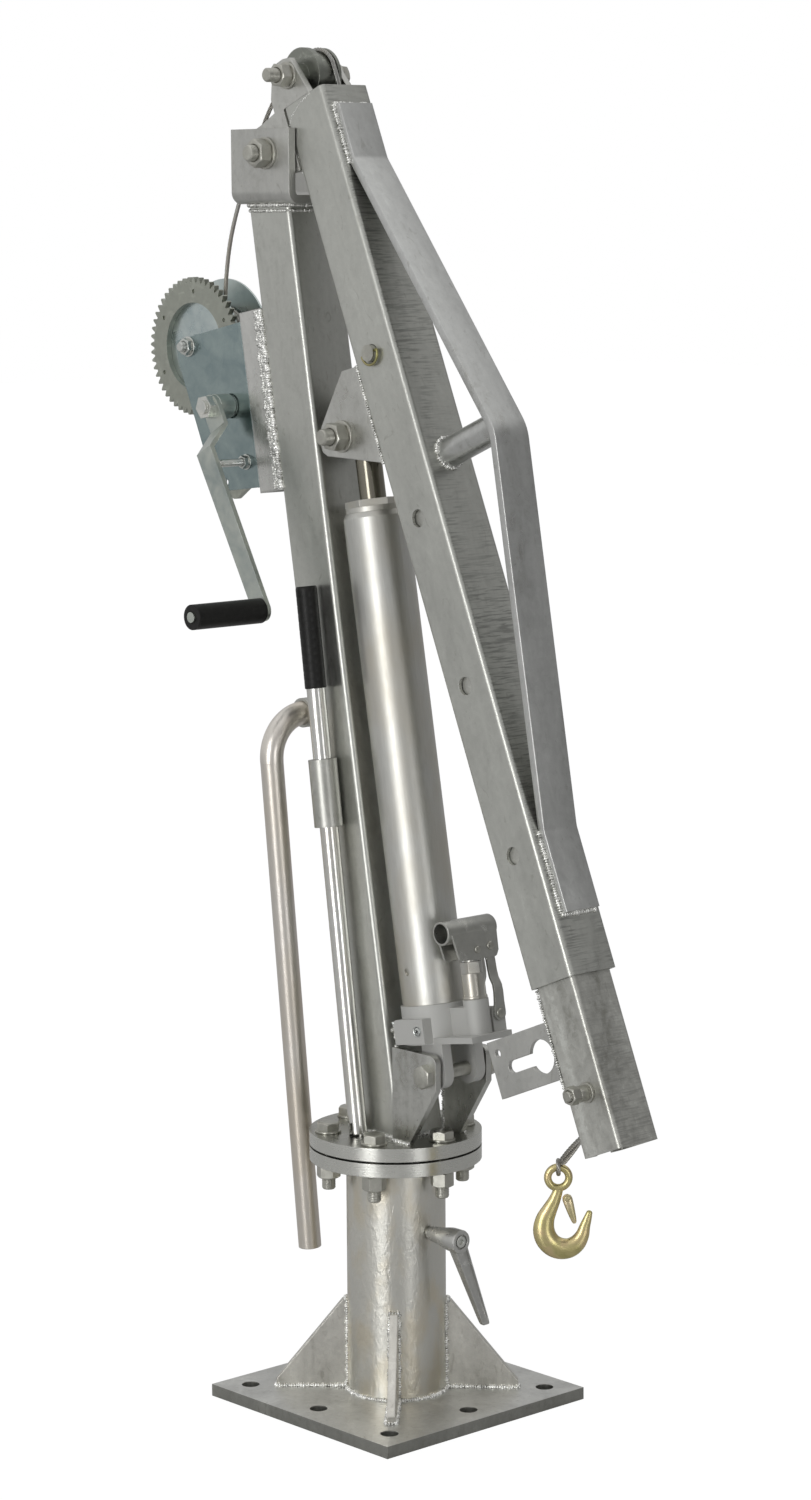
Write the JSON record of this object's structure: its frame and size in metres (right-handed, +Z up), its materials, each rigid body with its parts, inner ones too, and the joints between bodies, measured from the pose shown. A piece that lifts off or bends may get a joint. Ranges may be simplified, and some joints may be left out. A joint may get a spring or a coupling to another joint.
{
  "type": "truck jib crane",
  "caption": "Folded hydraulic jib crane: luffing telescopic boom on a turning mast with hand winch, pump ram, hook and square bolt-down base.",
  "frame": {"origin": "centre of the base plate's underside, on the mast's turning axis", "axes": "+Z up along the turning axis, +X from the mast towards the folded boom, +Y to the side away from the crank"},
  "size_m": [0.7839, 0.3495, 1.5442],
  "materials": {
    "galvanised": "hot-dip galvanised, mottled",
    "zinc_plate": "bluish zinc plate",
    "gold_zinc": "yellow zinc plate",
    "bright_steel": "satin ground steel",
    "plated_steel": "dull plated steel",
    "grey_casting": "grey painted casting",
    "silver_paint": "silver enamel",
    "hard_chrome": "hard chrome",
    "wire_rope": "stranded wire rope",
    "black_grip": "soft black grip",
    "bronze_ring": "bronze thrust ring"
  },
  "bodies": {
    "base": {"base_plate": "galvanised", "pedestal_pipe": "galvanised", "gussets": "galvanised", "thrust_ring": "bronze_ring"},
    "mast": {"turning_post": "galvanised", "lower_flange": "galvanised", "upper_flange": "galvanised", "flange_bolts": "plated_steel", "mast_tube": "galvanised", "foot_clevis": "galvanised", "mast_gusset": "galvanised", "head_bracket": "galvanised", "luff_bolt": "plated_steel", "ram_foot_bolt": "plated_steel", "winch_channel": "galvanised", "handle_sleeve": "galvanised", "slew_socket": "galvanised", "winch_frame": "zinc_plate", "winch_screws": "plated_steel", "drum_axle": "plated_steel", "pawl_stud": "plated_steel", "rope_lead": "wire_rope"},
    "drum": {"rope_drum": "zinc_plate", "drum_gear": "zinc_plate", "rope_winding": "wire_rope"},
    "crank": {"crank_shaft": "plated_steel", "crank_arm": "zinc_plate"},
    "crank_grip": {"crank_grip": "black_grip"},
    "pawl": {"winch_pawl": "plated_steel"},
    "boom": {"boom_tube": "galvanised", "head_ears": "galvanised", "ram_brackets": "galvanised", "truss_bar": "galvanised", "truss_strut": "galvanised", "ram_head_bolts": "plated_steel", "sheave_bolt": "plated_steel", "rope_run": "wire_rope"},
    "sheave": {"sheave": "plated_steel"},
    "telescope": {"tip_tube": "galvanised", "keyhole_plate": "galvanised", "tip_bolt": "plated_steel", "rope_tail": "wire_rope"},
    "end_roller": {"tip_roller": "plated_steel"},
    "hook": {"hook": "gold_zinc"},
    "hook_latch": {"hook_latch": "gold_zinc"},
    "lock_pin": {"lock_pin": "plated_steel"},
    "pin_ring": {"pin_ring": "gold_zinc"},
    "ram_cylinder": {"ram_base": "grey_casting", "ram_cylinder": "silver_paint", "gland_nut": "silver_paint", "pump_barrel": "bright_steel"},
    "ram_rod": {"ram_rod": "hard_chrome"},
    "pump_plunger": {"pump_plunger": "bright_steel"},
    "pump_links": {"pump_links": "plated_steel"},
    "pump_lever": {"pump_lever": "galvanised"},
    "release_valve": {"release_valve": "plated_steel"},
    "clamp_lever": {"clamp_lever": "grey_casting"},
    "pump_handle": {"pump_handle": "zinc_plate", "handle_grip": "black_grip"},
    "slew_handle": {"slew_handle": "galvanised"}
  },
  "joints": [
    {"name": "slew", "type": "hinge", "parent": "base", "child": "mast", "pos_m": [0, 0, 0.287], "axis": [0, 0, 1], "continuous": true},
    {"name": "clamp_turn", "type": "hinge", "parent": "base", "child": "clamp_lever", "pos_m": [0.06, 0, 0.208], "axis": [1, 0, 0], "range_deg": [-60, 60]},
    {"name": "boom_luff", "type": "hinge", "parent": "mast", "child": "boom", "pos_m": [-0.15546, 0, 1.42658], "axis": [0, -1, 0], "range_deg": [0, 98], "deforming": ["rope_lead"]},
    {"name": "ram_swing", "type": "hinge", "parent": "mast", "child": "ram_cylinder", "pos_m": [0.101, 0, 0.405], "axis": [0, 1, 0], "range_deg": [0, 12.73]},
    {"name": "ram_extend", "type": "slide", "parent": "ram_cylinder", "child": "ram_rod", "axis": [-0.171, 0, 0.9853], "range_m": [0, 0.45709]},
    {"name": "telescope", "type": "slide", "parent": "boom", "child": "telescope", "axis": [0.3838, 0, -0.9234], "range_m": [0, 0.579]},
    {"name": "lock_pin_pull", "type": "slide", "parent": "boom", "child": "lock_pin", "axis": [0, -1, 0], "range_m": [0, 0.08]},
    {"name": "pin_ring_swing", "type": "hinge", "parent": "lock_pin", "child": "pin_ring", "pos_m": [0.00889, -0.0388, 1.20575], "axis": [0.9234, 0, 0.3838], "range_deg": [-100, 0]},
    {"name": "sheave_turn", "type": "hinge", "parent": "boom", "child": "sheave", "pos_m": [-0.12931, 0, 1.51218], "axis": [0, 1, 0], "continuous": true},
    {"name": "end_roller_turn", "type": "hinge", "parent": "telescope", "child": "end_roller", "pos_m": [0.34044, 0, 0.4263], "axis": [0, 1, 0], "continuous": true},
    {"name": "hook_swing", "type": "hinge", "parent": "telescope", "child": "hook", "pos_m": [0.266, 0, 0.3246], "axis": [-0.7431, 0.6691, 0], "range_deg": [-14, 14]},
    {"name": "hook_latch_open", "type": "hinge", "parent": "hook", "child": "hook_latch", "pos_m": [0.27236, 0.00706, 0.29], "axis": [-0.7431, 0.6691, 0], "range_deg": [0, 30], "stiffness_Nm_per_rad": 0.02, "springref_deg": -17.19},
    {"name": "drum_turn", "type": "hinge", "parent": "mast", "child": "drum", "pos_m": [-0.31305, 0, 1.20613], "axis": [0, 1, 0], "continuous": true},
    {"name": "crank_turn", "type": "hinge", "parent": "mast", "child": "crank", "pos_m": [-0.23954, 0, 1.13938], "axis": [0, 1, 0], "continuous": true},
    {"name": "crank_grip_turn", "type": "hinge", "parent": "crank", "child": "crank_grip", "pos_m": [-0.11582, -0.145, 0.91526], "axis": [0, 1, 0], "continuous": true},
    {"name": "pawl_lift", "type": "hinge", "parent": "mast", "child": "pawl", "pos_m": [-0.20991, 0, 1.07605], "axis": [0, 1, 0], "range_deg": [0, 15]},
    {"name": "pump_stroke", "type": "hinge", "parent": "pump_links", "child": "pump_lever", "pos_m": [0.12289, 0.022, 0.54785], "axis": [-0.9853, 0, -0.171], "range_deg": [0, 35]},
    {"name": "pump_links_sway", "type": "hinge", "parent": "ram_cylinder", "child": "pump_links", "pos_m": [0.13589, 0.022, 0.47297], "axis": [0.9853, 0, 0.171], "range_deg": [0, 2.38]},
    {"name": "plunger_lift", "type": "slide", "parent": "ram_cylinder", "child": "pump_plunger", "axis": [-0.171, 0, 0.9853], "range_m": [0, 0.01072]},
    {"name": "release_turn", "type": "hinge", "parent": "ram_cylinder", "child": "release_valve", "pos_m": [0.04284, -0.038, 0.44768], "axis": [0.9853, 0, 0.171], "range_deg": [-90, 90]},
    {"name": "pump_handle_lift", "type": "slide", "parent": "mast", "child": "pump_handle", "axis": [-0.1305, 0, 0.9914], "range_m": [0, 0.425]},
    {"name": "slew_handle_swing", "type": "hinge", "parent": "mast", "child": "slew_handle", "pos_m": [-0.12222, 0, 0.79197], "axis": [0, 1, 0], "range_deg": [0, 90]}
  ],
  "couplings": [
    {"joint": "ram_swing", "follows": "boom_luff", "ratio": 0.1299},
    {"joint": "ram_extend", "follows": "boom_luff", "m_per_rad": 0.26724},
    {"joint": "crank_turn", "follows": "drum_turn", "ratio": -3.7143},
    {"joint": "pump_links_sway", "follows": "pump_stroke", "ratio": 0.067975},
    {"joint": "plunger_lift", "follows": "pump_stroke", "m_per_rad": 0.017542}
  ]
}
